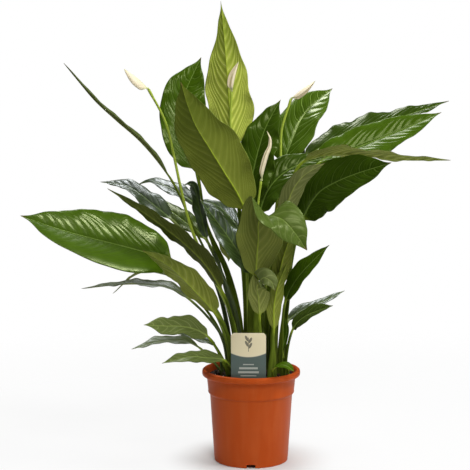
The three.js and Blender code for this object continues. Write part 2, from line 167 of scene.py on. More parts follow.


# How each leaf differs from the rest: tone from dark to bright on its upper side, partly the leaf's own
# green and partly painted light falling on it and shining through it, pale from olive to yellow-green on
# its underside, partly its own paler underside and partly painted light shining through it, grey how much
# painted grey sheen covers it, veined how light its upper veins are, pleat the depth of the folds between
# side veins in millimetres, wave the height of its wavy margin as a share of its half width, full how much
# broader it is before its tip, edge how uneven its outline is, and calm how much flatter one half is: the
# half at positive across where it is above 0, else the other.
PLAIN_LOOK = dict(tone=0.25, pale=0.3, grey=0.15, veined=0.2, pleat=0.8, wave=0.1, full=0, edge=1, calm=0)
LEAF_LOOK = {
    "tall": dict(tone=0.7, pale=1.0, grey=0, pleat=1.3, full=-0.12, edge=1.5),
    "broad_front": dict(tone=0.5, pale=0.26, grey=0, pleat=0.7, wave=0.07),
    "back_left_high": dict(tone=0.6, grey=0, pleat=1.5, veined=0.25, full=0.22, edge=0.5),
    "centre_back": dict(tone=0.35, grey=0, wave=0.14, edge=1.4),
    "right_high": dict(tone=0.65, grey=0, pleat=1.0, wave=0.05, veined=0.85, full=0.2, edge=0.4),
    "far_right_upper": dict(tone=0.15, grey=0, wave=0.12),
    "far_right_lower": dict(tone=0.6, grey=0, wave=0.06, edge=0.5),
    "right_flat": dict(tone=0.7, pale=1.0, grey=0.45, pleat=0.6),
    "right_dark": dict(tone=0.3, grey=0, pleat=1.1, wave=0.06),
    "right_inner": dict(grey=0, pleat=1.2, wave=0.13),
    "right_grey": dict(grey=1, pleat=0.5, wave=0.06),
    "front_folded": dict(tone=0.7, pale=0.36, grey=0.35, pleat=0.5, wave=0.06),
    "small_right": dict(tone=0.6, grey=0, pleat=0.6, wave=0.07),
    "small_folded": dict(tone=0.6, pale=0.7, grey=0.8, pleat=0.4, wave=0.07, edge=0.6),
    "great_left": dict(tone=0.7, grey=0, pleat=1.0, wave=0.04, edge=0.3, veined=0.1, calm=-0.85),
    "left_under": dict(pale=0.5, wave=0.08),
    "left_long": dict(pale=0.15, grey=0.3, pleat=0.4, wave=0.06),
    "thin_high_left": dict(pale=0.15, grey=0.5, pleat=0.15, wave=0.04, veined=0),
    "striped": dict(tone=0.15, grey=0, pleat=1.0, veined=0.7),
    "silver_back": dict(tone=0.15, grey=0, pleat=1.0, wave=0.14, veined=0.6),
    "back_left_a": dict(tone=0.1, grey=0, pleat=1.0, wave=0.12, veined=0.4),
    "back_left_b": dict(tone=0.05, grey=0, pleat=1.0, wave=0.12, veined=0.4),
    "left_inner": dict(tone=0.2, grey=0, pleat=1.0),
    "low_left_broad": dict(tone=0.6, grey=0.7, pleat=0.9, wave=0.16, full=0.2, edge=2.2, veined=0.5),
    "low_left_edge": dict(grey=0.6, pleat=0.5, wave=0.14, tone=0.6, edge=2.2, veined=0.5),
    "low_left_long": dict(grey=0.5, pleat=0.6, wave=0.12, edge=1.8, veined=0.4),
    "low_left_behind": dict(grey=0.5, pleat=0.6, wave=0.12),
    "rim_right": dict(tone=1.0, grey=0, pleat=0.5, wave=0.12),
    "low_right_c": dict(tone=0.9, grey=0, pleat=0.5),
    "right_olive": dict(tone=0.7, grey=0.1, pleat=0.6, wave=0.06),
    "right_strip": dict(tone=0.7, pale=0.4, grey=0.1, pleat=0.5, wave=0.05),
    "rim_left": dict(tone=0.6, grey=0.6, pleat=0.5, wave=0.2, edge=2.6, veined=0.4),
}

SILVERY = ("leaf_back_left_a", "leaf_back_left_b", "leaf_striped", "leaf_silver_back", "leaf_left_inner",
           "leaf_low_left_edge", "leaf_low_left_long", "leaf_low_left_back", "leaf_low_right_a")
POLISHED = ("leaf_great_left", "leaf_right_high")


# ---- Materials ----


class Term:
    """A socket of a finish that takes part in plain arithmetic."""

    def __init__(self, finish, socket):
        self.finish, self.socket = finish, socket

    def _maths(self, operation, *terms):
        return self.finish.node("ShaderNodeMath", {"operation": operation}, dict(enumerate(terms)))

    def __add__(self, other):
        return self._maths("ADD", self, other)

    def __sub__(self, other):
        return self._maths("SUBTRACT", self, other)

    def __rsub__(self, other):
        return self._maths("SUBTRACT", other, self)

    def __mul__(self, other):
        return self._maths("MULTIPLY", self, other)

    def __truediv__(self, other):
        return self._maths("DIVIDE", self, other)

    def __pow__(self, other):
        return self._maths("POWER", self, other)

    def __abs__(self):
        return self._maths("ABSOLUTE", self)

    __radd__, __rmul__ = __add__, __mul__

    def sine(self):
        return self._maths("SINE", self)


class Finish:
    """A material or surround under construction. Every node comes from node(): settings, then sockets."""

    def __init__(self, owner):
        self.owner = bpy.data.materials.new(owner) if isinstance(owner, str) else owner
        self.owner.use_nodes = True
        self.tree = self.owner.node_tree
        self.tree.nodes.clear()

    def node(self, kind, settings=None, sockets=None, output=0):
        made = self.tree.nodes.new(kind)
        for key, value in (settings or {}).items():
            setattr(made, key, value)
        for key, value in (sockets or {}).items():
            socket = made.inputs[key]
            if isinstance(value, Term):
                self.tree.links.new(value.socket, socket)
            elif socket.type == "RGBA":
                socket.default_value = (*tuple(value)[:3], 1.0)
            else:
                socket.default_value = value
        return Term(self, made.outputs[output])

    def attributes(self, *names):
        return [self.node("ShaderNodeAttribute", {"attribute_name": name}, output="Fac") for name in names]

    def place(self):
        return self.node("ShaderNodeTexCoord", output="Object")

    def point(self, x, y, z=0.0):
        return self.node("ShaderNodeCombineXYZ", sockets={0: x, 1: y, 2: z})

    def axes(self, vector):
        return [self.node("ShaderNodeSeparateXYZ", sockets={0: vector}, output=i) for i in range(3)]

    def stretched(self, vector, scale):
        return self.node("ShaderNodeVectorMath", {"operation": "MULTIPLY"}, {0: vector, 1: scale})

    def noise(self, vector, scale, detail=3.0, rough=0.55):
        return self.node("ShaderNodeTexNoise",
                         sockets={"Vector": vector, "Scale": scale, "Detail": detail, "Roughness": rough})

    def step(self, value, low, high):
        return self.node("ShaderNodeMapRange", {"interpolation_type": "SMOOTHSTEP"},
                         {"Value": value, "From Min": low, "From Max": high})

    def fade(self, value, low, high):
        return 1 - self.step(value, low, high)

    def mix(self, factor, first, second):
        return self.node("ShaderNodeMix", {"data_type": "RGBA"}, {0: factor, 6: first, 7: second}, output=2)

    def layered(self, base, *layers):
        """Lays colours over a base, each with how much of it shows."""
        for amount, over in layers:
            base = self.mix(amount, base, over)
        return base

    def bump(self, height, distance, strength=1.0):
        return self.node("ShaderNodeBump",
                         sockets={"Height": height, "Distance": distance, "Strength": strength})

    def shade(self, base, roughness, normal=None, **fixed):
        sockets = {"Base Color": base, "Roughness": roughness}
        if normal is not None:
            sockets["Normal"] = normal
        sockets.update({key.replace("_", " ").title().replace("Ior", "IOR"): v for key, v in fixed.items()})
        return self.show(self.node("ShaderNodeBsdfPrincipled", sockets=sockets))

    def show(self, shader, kind="Material"):
        output = self.tree.nodes.new("ShaderNodeOutput" + kind)
        self.tree.links.new(shader.socket, output.inputs["Surface"])
        return self.owner


def pot_plastic(look):
    """Terracotta-coloured moulded plastic with flow marks, handling wear and a little soil dust."""
    f = Finish("terracotta_plastic")
    place = f.place()
    z = f.axes(place)[2]
    flow = f.noise(f.stretched(place, (1.0, 1.0, 0.12)), 60, 3)
    cloud = f.noise(place, 14, 4)
    speck = f.noise(place, 420, 2)
    scuff = f.step(f.noise(f.stretched(place, (1.0, 1.0, 3.5)), 46, 5, 0.7), 0.62, 0.74)
    low = f.fade(z, 0.0, 0.03)
    base = f.layered(
        look.plastic,
        (f.step(flow, 0.35, 0.7) * 0.22, look.worn),
        (f.step(cloud, 0.4, 0.75) * 0.16, tint(150, 58, 20)),
        (scuff * 0.28, look.worn),
        (f.step(speck, 0.6, 0.8) * (0.1 + low * 0.4), look.dust),
    )
    rough = look.gloss + flow * 0.08 + scuff * 0.14 + low * 0.1
    normal = f.bump(speck * 0.3 + flow * 0.5 + cloud * 0.6, 0.0004, 0.5)
    return f.shade(base, rough, normal, specular_ior_level=0.14, specular_tint=(1.0, 0.7, 0.5))


def potting_earth(look):
    """Moist dark soil: lumps, fibres and damp patches."""
    f = Finish("potting_earth")
    place = f.place()
    lump = f.noise(place, 150, 5, 0.7)
    fibre = f.step(f.noise(f.stretched(place, (1.0, 3.0, 1.0)), 240, 3, 0.6), 0.6, 0.72)
    damp = f.noise(place, 24, 2)
    base = f.layered(tint(20, 14, 10), (f.step(lump, 0.35, 0.75), look.earth), (fibre * 0.55, look.fibre))
    normal = f.bump(lump + fibre * 0.4, 0.0016, 0.9)
    return f.shade(base, 0.62 + damp * 0.35, normal)


def drainage_grain(look):
    """Rough white grains, pitted and stained by the soil."""
    f = Finish("drainage_grain")
    place = f.place()
    stain = f.noise(place, 380, 3)
    base = f.mix(f.step(stain, 0.45, 0.7), look.grain, tint(150, 132, 108))
    return f.shade(base, 0.85, f.bump(f.noise(place, 1600, 3), 0.0003, 0.8))


def crumb_earth(look):
    """Loose crumbs, bark chips and fibre, each with its own brown."""
    f = Finish("crumb_earth")
    place = f.place()
    kind, = f.attributes("crumb")
    grain = f.noise(place, 700, 4, 0.7)
    pale = f.step(grain, 0.5, 0.75) * 0.5
    base = f.layered(tint(18, 12, 9), (kind, look.fibre), (pale, tint(120, 92, 66)))
    return f.shade(base, 0.7 + grain * 0.25, f.bump(grain, 0.0006, 0.9))


def label_print(look, box):
    """A two-tone card: cream above an arc, slate below, with a plain sprig and four plain bars."""
    f = Finish("label_card")
    low, high = box
    middle = (low.x + high.x) / 2
    half = (high.x - low.x) / 2
    place = f.place()
    x, _, z = f.axes(place)
    u = (x - middle) / half
    v = (z - (high.z - look.card)) / look.card
    arc = 0.49 + u * u * 0.085
    slate = f.fade(v - arc, -0.006, 0.006)
    line = f.fade(abs(v - arc), 0.004, 0.012)
    fleck = f.noise(place, 900, 2)
    weave = f.noise(f.stretched(place, (1.0, 1.0, 0.08)), 1500, 2)
    flecked = f.step(fleck, 0.4, 0.8) * 0.3
    cream = f.mix(flecked, look.cream, tint(240, 229, 196))
    lower = f.mix(flecked, look.slate, tint(74, 90, 86))

    mark = f.fade(abs(u), 0.012, 0.022) * f.step(v, 0.6, 0.61) * f.fade(v, 0.9, 0.91)
    for side, lift in ((1, 0.68), (-1, 0.72), (1, 0.79), (-1, 0.83)):
        along = (u * (0.8 * side) + (v - lift) * 0.9) / 0.135 - 0.95
        aside = (u * (-0.62 * side) + (v - lift) * 1.15) / 0.06
        mark = mark + f.fade(along * along + aside * aside, 0.8, 1.0)
    bars = 0
    for level, reach, thick in (
        (0.33, 0.3, 0.008), (0.25, 0.52, 0.018), (0.165, 0.58, 0.018), (0.09, 0.44, 0.008),
    ):
        bars = f.fade(abs(u), reach, reach + 0.02) * f.fade(abs(v - level), thick, thick + 0.006) + bars
    base = f.layered(
        cream,
        (slate, lower),
        (line * 0.35, tint(224, 218, 196)),
        (f.step(mark, 0.3, 0.7) * 0.8, look.print_dark),
        (bars * 0.6, tint(214, 218, 206)),
    )
    return f.shade(base, 0.42 + fleck * 0.1, f.bump(weave, 0.00008, 0.4), coat_weight=0.15)


def leaf_skin(look, name, gleam, sheen, softness):
    """Waxy leaf: dark glossy upper side, paler matt underside, side veins that sweep to the tip. The pleats'
    crests are painted lighter above and their hollows painted darker below. The blade's brightness is
    partly painted light, and its grey is a painted sheen.
    """
    f = Finish(name)
    place = f.place()
    across, along, rib, reach, upper = f.attributes("across", "along", "rib", "reach", "upper")
    blade, tone, pale, grey, veined = f.attributes("blade", "tone", "pale", "grey", "veined")
    mottle = f.noise(place, 55, 4, 0.6)
    fine = f.noise(place, 420, 3, 0.6)
    waver = f.noise(place, 90, 2)
    phase = rib + (waver - 0.5) * 0.16
    hump = abs((phase * math.pi).sine())
    vein = f.fade(hump, 0.03, 0.22)
    thread = f.fade(abs((phase * (4 * math.pi) + fine * 0.7).sine()), 0.05, 0.5)
    hair = f.fade(abs((phase * (13 * math.pi) + fine * 1.2).sine()), 0.1, 0.8)
    rib_half = 0.0019 - along * 0.0015
    midrib = f.fade(abs(reach), rib_half * 0.45, rib_half * 1.15)
    crest, outward = f.step(hump, 0.5, 1.0), f.step(along, 0.3, 0.9)

    # Brighter serves both the random mottle and the painted light on the crests of the pleats.
    brighter = f.mix(tone, tint(34, 54, 4), tint(86, 120, 6))
    # Tone sets the upper side from dark to bright: partly the leaf's own green, partly painted light.
    shade_up = f.layered(
        f.mix(tone, look.upper_dark, look.upper_bright),
        (f.step(mottle, 0.35, 0.75) * 0.45, brighter),
        # Painted light: the raised crests between the side veins are lighter.
        (crest * 0.3, brighter),
        (hair * 0.07 + thread * (0.04 + veined * 0.22), look.upper_vein),
        (vein * (0.03 + veined * 0.8), look.upper_vein),
        (midrib * 0.5, look.upper_vein),
    )
    # Trough shade is painted shade: a darker green for the hollows between the side veins on the underside.
    # The same colour also darkens the underside towards the tip and in random patches.
    trough_shade = f.mix(pale, tint(46, 60, 6), tint(104, 128, 26))
    ridge = f.mix(pale, tint(92, 108, 24), tint(236, 240, 150))
    # Pale sets the underside and its vein ridges from olive to bright yellow-green. This is partly their own
    # paler green and partly painted light shining through the blade.
    shade_under = f.layered(
        f.mix(pale, look.under_olive, look.under_pale),
        (f.step(hump, 0.45, 1.0) * (0.1 + pale * 0.42), trough_shade),
        (hair * 0.1 + thread * 0.12, tint(52, 68, 14)),
        (vein * (0.12 + pale * 0.5), ridge),
        (outward * 0.55, trough_shade),
        (f.step(mottle, 0.4, 0.8) * 0.2, trough_shade),
        (midrib * (1 - outward * 0.7), look.midrib),
    )
    # Sheen skin is a painted grey sheen: light glancing off the blade painted into its colour, with darker
    # crests and paler veins.
    sheen_skin = f.layered(
        look.grey_sheen,
        (crest * 0.4, tint(84, 94, 54)),
        (vein * 0.5 + hair * 0.15, tint(168, 172, 116)),
        (midrib * 0.7, tint(160, 168, 96)),
    )
    skin = f.layered(
        shade_under,
        (f.step(upper, 0.35, 0.65), shade_up),
        # Grey lays the painted sheen over the leaf.
        (grey * (0.6 + mottle * 0.3), sheen_skin),
        (f.step(abs(across), 0.97, 0.995) * 0.3, look.upper_vein),
        (f.step(along, 0.955, 0.99) * 0.8, look.dry_tip),
    )
    streak = f.noise(f.stretched(f.point(reach, along, upper), (900.0, 3.0, 1.0)), 1.0, 3, 0.6)
    green = f.layered(
        look.stalk,
        # Tone brightens the stalk as it brightens the blade: partly its own green, partly painted light.
        (tone, tint(116, 136, 40)),
        (f.step(streak, 0.4, 0.8) * 0.5, tint(104, 122, 34)),
        (f.fade(along, -1.0, -0.55), look.stalk_foot),
        (f.step(along, -0.12, 0.0) * 0.6, look.midrib),
    )
    base = f.mix(blade, green, skin)

    rough = 0.5 + softness - upper * 0.34 + mottle * 0.08 + grey * 0.16 + (1 - blade) * 0.22
    relief = (vein * 0.35 + thread * 0.15) * (1 - upper) + fine * 0.012
    normal = f.bump(relief * blade + streak * (1 - blade) * 0.4, 0.0006, 0.8)
    return f.shade(base, rough, normal, specular_ior_level=gleam, specular_tint=sheen)


def spathe_skin(look):
    """Soft white hood with faint lengthwise veins, green at its foot and tip, and a few tan flecks, which
    glows faintly with its own colour: painted light, as the hood is no lamp.
    """
    f = Finish("lily_spathe")
    place = f.place()
    across, along, upper = f.attributes("across", "along", "upper")
    soft = f.noise(place, 160, 3)
    lines = abs((across * 26 + soft * 1.5).sine())
    fleck = f.step(f.noise(place, 620, 3, 0.7), 0.58, 0.72)
    spine = f.fade(abs(across), 0.02, 0.12) * (1 - upper)
    base = f.layered(
        look.spathe,
        (f.step(soft, 0.35, 0.7) * 0.3, tint(214, 196, 158)),
        (f.fade(lines, 0.0, 0.35) * 0.28, look.spathe_green),
        (fleck * 0.1 * f.fade(along, 0.75, 0.95), look.spathe_fleck),
        (f.fade(along, 0.0, 0.2) * 0.8, look.spathe_green),
        (f.step(along, 0.82, 1.0) * 0.55, tint(168, 172, 108)),
        (spine * 0.6, look.spathe_green),
    )
    normal = f.bump(lines * 0.4 + soft * 0.1, 0.0002, 0.4)
    # The hood glows with a fifth of its own colour: painted light that brightens it beyond what the lamps
    # give.
    return f.shade(base, 0.45 + soft * 0.15, normal, emission_color=base, emission_strength=0.2)


def flower_stalk_skin(look):
    """Smooth yellow-green stalk with fine lengthwise streaks, darker towards its foot: painted shade where
    the leaves shade it.
    """
    f = Finish("flower_stalk")
    place = f.place()
    turn, along = f.attributes("across", "along")
    streak = f.noise(f.point(turn * 9.0, along * 2.2), 1.0, 4, 0.6)
    mottle = f.noise(place, 130, 3)
    base = f.layered(
        look.stalk,
        (f.step(streak, 0.3, 0.75) * 0.5, tint(188, 204, 96)),
        # Darker towards the foot: painted shade under the leaves.
        (f.fade(along, 0.05, 0.5) * 0.55, tint(96, 124, 40)),
        (f.step(mottle, 0.6, 0.8) * 0.2, tint(126, 140, 58)),
    )
    return f.shade(base, 0.36 + mottle * 0.12, f.bump(streak, 0.0004, 0.6))


def spike_skin(look):
    """Cream spike: rounded small flowers with painted shade, a darker cream, in the pits between them."""
    f = Finish("lily_spike")
    knob, = f.attributes("knob")
    # The pits between the small flowers get the darker cream: painted shade in the hollows.
    base = f.mix(f.step(knob, 0.1, 0.8), look.spike_pit_shade, look.spike)
    grain = f.noise(f.place(), 1500, 2)
    return f.shade(base, 0.65 + grain * 0.15, f.bump(grain, 0.0002, 0.6))


# ---- Mesh helpers ----


def placed(name, shape):
    """An object in the scene made of a bmesh, which is freed."""
    mesh = bpy.data.meshes.new(name)
    shape.to_mesh(mesh)
    shape.free()
    made = bpy.data.objects.new(name, mesh)
    bpy.context.scene.collection.objects.link(made)
    return made


def keep_piece(name, shape, material, nodes=(), flat=False, crease=None):
    """Turns a bmesh into a finished piece of the plant that rides on the frame."""
    piece = placed(name, shape)
    mesh = piece.data
    mesh.materials.append(material)
    mesh.shade_flat() if flat else mesh.shade_smooth()
    if crease is not None:
        mesh.set_sharp_from_angle(angle=math.radians(crease))
    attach(piece, "root")
    if nodes:
        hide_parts(*nodes)


def weld(shape, gap=1e-7):
    bmesh.ops.remove_doubles(shape, verts=shape.verts, dist=gap)


def rounded(shape, geom, offset, segments=2, affect="EDGES"):
    bmesh.ops.bevel(shape, geom=geom, offset=offset, offset_type="OFFSET", segments=segments,
                    profile=0.5, material=-1, affect=affect)


def only(kind, geom):
    return [g for g in geom if isinstance(g, kind)]


def spun(profile, steps):
    """A closed body turned round Z from (radius, height) points in metres."""
    shape = bmesh.new()
    spots = [shape.verts.new((radius, 0, height)) for radius, height in profile]
    edges = [shape.edges.new(pair) for pair in zip(spots, spots[1:])]
    bmesh.ops.spin(shape, geom=spots + edges, cent=(0, 0, 0), axis=(0, 0, 1), dvec=(0, 0, 0),
                   angle=2 * math.pi, steps=steps, use_merge=True)
    weld(shape, 1e-6)
    bmesh.ops.recalc_face_normals(shape, faces=shape.faces)
    return shape


def smoothstep(value, low, high):
    part = np.clip((value - low) / (high - low), 0, 1)
    return part * part * (3 - 2 * part)


def through(knots, values, at):
    """A smooth curve through values at their knots, sampled at other places along it."""
    knots, values, at = np.asarray(knots), np.asarray(values, float), np.asarray(at)
    flat = values.reshape(len(knots), -1)
    gaps = np.diff(knots)[:, None]
    slopes = np.diff(flat, axis=0) / gaps
    tangents = np.vstack([slopes[:1], (slopes[:-1] * gaps[1:] + slopes[1:] * gaps[:-1])
                          / (gaps[1:] + gaps[:-1]), slopes[-1:]])
    i = np.clip(np.searchsorted(knots, at, side="right") - 1, 0, len(knots) - 2)
    gap = gaps[i, 0]
    t = ((at - knots[i]) / gap)[:, None]
    gap = gap[:, None]
    made = ((2 * t**3 - 3 * t**2 + 1) * flat[i] + (t**3 - 2 * t**2 + t) * gap * tangents[i]
            + (3 * t**2 - 2 * t**3) * flat[i + 1] + (t**3 - t**2) * gap * tangents[i + 1])
    return made.reshape(len(at), *values.shape[1:])


def unit(vectors):
    return vectors / np.maximum(np.linalg.norm(vectors, axis=-1, keepdims=True), 1e-12)


# A grown CAD node is a closed tube of rings with a pole at each end. This many rings come before its
# blade or hood opens; a stalk or a spike never opens.
RING_SIDES = 8
CLOSED_RINGS = {"leaf": 5, "stalk": 10, "spathe": 1, "spadix": 5}
LEAST_HALF = 0.2 * MM  # half width of a blade at its very tip


class Growth:
    """What the frame says of a grown node: its spine, widths and folds, ring by ring from its root."""

    def __init__(self, node, kind):
        stalk_rings = CLOSED_RINGS[kind]
        shape = bmesh.new()
        shape.from_mesh(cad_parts[node].data)
        weld(shape, 2e-6)
        ends = [v for v in shape.verts if len(v.link_edges) == RING_SIDES]
        rings = [[min(ends, key=lambda v: v.co.z)]]
        seen = set(rings[0])
        while True:
            ring = [e.other_vert(v) for v in rings[-1] for e in v.link_edges]
            ring = list(dict.fromkeys(v for v in ring if v not in seen))
            if not ring:
                break
            seen.update(ring)
            rings.append(ring)
        points = np.array([[v.co[:] for v in ring] for ring in rings[1:-1]])
        shape.free()
        count = len(points)
        self.spine = points.mean(axis=1)
        self.half = np.zeros(count)
        self.rise = np.zeros(count)
        self.thick = np.linalg.norm(points - self.spine[:, None], axis=2).mean(axis=1)
        across = np.zeros((count, 3))
        # The widest pair in a ring are the margins, and the two nearest its middle lie on the midrib.
        for i in range(stalk_rings, count - 1):
            ring = points[i]
            gaps = np.linalg.norm(ring[:, None] - ring[None], axis=2)
            left, right = np.unravel_index(gaps.argmax(), gaps.shape)
            way = unit(ring[left] - ring[right])
            middle = (ring[left] + ring[right]) / 2
            near = np.argsort(abs((ring - middle) @ way))[:2]
            self.spine[i] = ring[near].mean(axis=0)
            self.half[i] = gaps.max() / 2
            self.thick[i] = np.linalg.norm(ring[near[0]] - ring[near[1]]) / 2
            across[i] = way
            self.rise[i] = np.linalg.norm(middle - self.spine[i])
        steps = np.linalg.norm(np.diff(self.spine, axis=0), axis=1)
        self.knots = np.concatenate([[0], np.cumsum(steps)])
        self.length = self.knots[-1]
        self.neck = self.knots[stalk_rings - 1] if stalk_rings else 0.0
        tangents = unit(self.tangent(self.knots))
        # Across is turned so that up, square to it, points to the side that the margins rise to.
        for i in range(stalk_rings, count - 1):
            lift = points[i].mean(axis=0) - self.spine[i]
            if np.cross(across[i], tangents[i]) @ lift < 0:
                across[i] = -across[i]
        if stalk_rings >= count - 1:
            across[-1] = unit(np.cross(tangents[-1], (0.3, -1.0, 0.2)))
        else:
            across[-1] = across[-2]
            self.half[-1] = 0.0
            self.thick[-1] = 0.3 * MM
        for i in reversed(range(min(stalk_rings, count - 1))):
            across[i] = unit(across[i + 1] - (across[i + 1] @ tangents[i]) * tangents[i])
        self.across = across
        self.half[:stalk_rings] = self.thick[:stalk_rings]

    def tangent(self, at):
        near = self.length / 250
        at = np.clip(at, near, self.length - near)
        return unit(through(self.knots, self.spine, at + near) - through(self.knots, self.spine, at - near))

    def wrap(self, at, x, z, marks):
        """A closed skin from its distances across and up, by row along the growth and by column."""
        along = self.tangent(at)
        across = through(self.knots, self.across, at)
        across = unit(across - (across * along).sum(axis=1)[:, None] * along)
        up = np.cross(across, along)
        x[[0, -1]] = z[[0, -1]] = 0.0
        spine = through(self.knots, self.spine, at)
        return wrapped(spine[:, None] + x[..., None] * across[:, None] + z[..., None] * up[:, None], marks)

    def tube(self, at, reach, marks):
        """A closed tube from its radius, by row along the growth and by column."""
        angle = turns(reach.shape[1] - 1)
        return self.wrap(at, reach * np.cos(angle), reach * np.sin(angle), marks)


def wrapped(places, marks):
    """A grid whose points go to places, by row and column, closed at its seam and both ends. The
    marks, which spread over its rows and columns, are kept as attributes of the points."""
    rows, columns = places.shape[0], places.shape[1] - 1
    shape = bmesh.new()
    bmesh.ops.create_grid(shape, x_segments=columns, y_segments=rows - 1, size=0.5)
    mesh = bpy.data.meshes.new("wrapped")
    shape.to_mesh(mesh)
    shape.free()
    flat = np.zeros(len(mesh.vertices) * 3)
    mesh.vertices.foreach_get("co", flat)
    flat = flat.reshape(-1, 3)
    column = np.rint((flat[:, 0] + 0.5) * columns).astype(int)
    row = np.rint((flat[:, 1] + 0.5) * (rows - 1)).astype(int)
    mesh.vertices.foreach_set("co", places[row, column].ravel())
    for name, values in marks.items():
        layer = mesh.attributes.new(name, "FLOAT", "POINT")
        values = np.broadcast_to(values, places.shape[:2])
        layer.data.foreach_set("value", values[row, column].astype(np.float32))
    shape = bmesh.new()
    shape.from_mesh(mesh)
    bpy.data.meshes.remove(mesh)
    weld(shape)
    bmesh.ops.recalc_face_normals(shape, faces=shape.faces)
    return shape


def turns(columns):
    return 2 * math.pi * np.arange(columns + 1) / columns


def round_columns(columns):
    """Round a closed section: angle, blade position from 1 to -1 and back, and side from 1 to -1."""
    part = np.arange(columns + 1) / columns
    sweep = np.where(part <= 0.5, 1 - 4 * part, 4 * part - 3)
    place = np.sign(sweep) * np.abs(sweep) ** 1.2
    side = np.where(np.abs(sweep) > 0.9999, 0.0, np.where(part < 0.5, 1.0, -1.0))
    return turns(columns), place, side


# ---- Pot, soil and label ----


BAND_DROP, LIP_DROP = 39, 11  # millimetres from the pot's top down to its bead and to its lip's underside
FOOT = 63.5 * MM
NOTCHES, NOTCH_BOX = 4, (15 * MM, 18 * MM, 13 * MM)  # cut through the foot ring
HOLES, HOLE, HOLE_CIRCLE = 6, 5 * MM, 43 * MM  # count, radius and circle of the drain holes
TOUCH = 1e-6  # closer than this is the same place


class PEACELILY_OT_pot(Operator):
    """Builds the moulded nursery pot with its rolled lip, band, drain holes and notches"""

    bl_idname = "peacelily.pot"
    bl_label = "Nursery Pot"

    def put(self, tools, verts, place, part):
        """Moves a cutting tool to its place and turns it round the pot by part of a turn."""
        bmesh.ops.translate(tools, verts=verts, vec=place)
        turn = Matrix.Rotation(part * 2 * math.pi, 3, "Z")
        bmesh.ops.rotate(tools, verts=verts, cent=(0, 0, 0), matrix=turn)

    def execute(self, context):
        look = context.scene.peacelily_pot
        low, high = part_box("nursery_pot")
        rim, top, bead = (high.x - low.x) / 2 / MM, high.z / MM, look.bead / MM
        band, lip = top - BAND_DROP, top - LIP_DROP
        under = [
            (0, 0), (26, 0), (28, 7), (58.5, 7), (59.5, 0), (62.9, 0), (63.7, 0.9), (64.3, 6),
        ]
        outside = [
            (71.4, band - 4.2), (71.6 + bead, band - 3.4), (73.2 + bead, band - 1.6),
            (73.9 + bead, band - 0.2), (73.9 + bead, band + 1), (74.5, band + 2.2), (77, lip - 1.2),
            (78.2, lip), (rim - 2.2, lip), (rim - 0.5, lip + 1.2), (rim, lip + 3.4),
        ]
        over = [
            (rim, top - 4.2), (rim - 0.6, top - 1.8), (rim - 2.2, top - 0.4), (rim - 4, top),
            (rim - 5.8, top - 0.5), (rim - 7.2, top - 2.4), (rim - 8.6, top - 6),
        ]
        inside = [
            (75.2, lip - 3), (72.7, band + 1), (69.7, band - 3), (61.7, 8.8), (26, 8.8), (24, 1.8), (0, 1.8),
        ]
        shape = spun([(r * MM, h * MM) for r, h in under + outside + over + inside], 144)
        loops = [e for e in shape.edges if len(e.link_faces) == 2
                 and abs(e.verts[0].co.z - e.verts[1].co.z) < TOUCH
                 and abs(e.verts[0].co.xy.length - e.verts[1].co.xy.length) < TOUCH
                 and e.verts[0].co.xy.length > 20 * MM and e.calc_face_angle(0) > math.radians(38)]
        rounded(shape, loops, look.rounding)
        tools = bmesh.new()
        for i in range(NOTCHES):
            made = bmesh.ops.create_cube(tools, size=1.0)["verts"]
            bmesh.ops.scale(tools, verts=made, vec=NOTCH_BOX)
            self.put(tools, made, (0, -FOOT, 0), i / NOTCHES)
        for i in range(HOLES):
            made = bmesh.ops.create_cone(tools, cap_ends=True, segments=24, radius1=HOLE, radius2=HOLE,
                                         depth=6 * MM)["verts"]
            self.put(tools, made, (HOLE_CIRCLE, 0, 8 * MM), (i + 0.5) / HOLES)
        helper, draft = placed("cutter", tools), placed("draft", shape)
        boolean = draft.modifiers.new("drain", "BOOLEAN")
        boolean.operation, boolean.solver, boolean.object = "DIFFERENCE", "EXACT", helper
        done = bmesh.new()
        done.from_object(draft, context.evaluated_depsgraph_get())
        for scrap in (helper, draft):
            bpy.data.objects.remove(scrap)
        keep_piece("nursery_pot_shell", done, pot_plastic(look), ["nursery_pot"], crease=32)
        return {"FINISHED"}


def soil_height(x, y, crown, edge, relief):
    """Height of the soil's surface, with lumps and a low edge against the wall."""
    fall = max(0.0, min(1.0, (math.hypot(x, y) - 40 * MM) / (32 * MM)))
    level = crown - (crown - edge) * fall**1.6
    lumps = noise.noise(Vector((x * 70, y * 70, 1.7))) + 0.6 * noise.noise(Vector((x * 210, y * 210, 4.1)))
    return level + relief * 0.55 * lumps - relief * 0.35


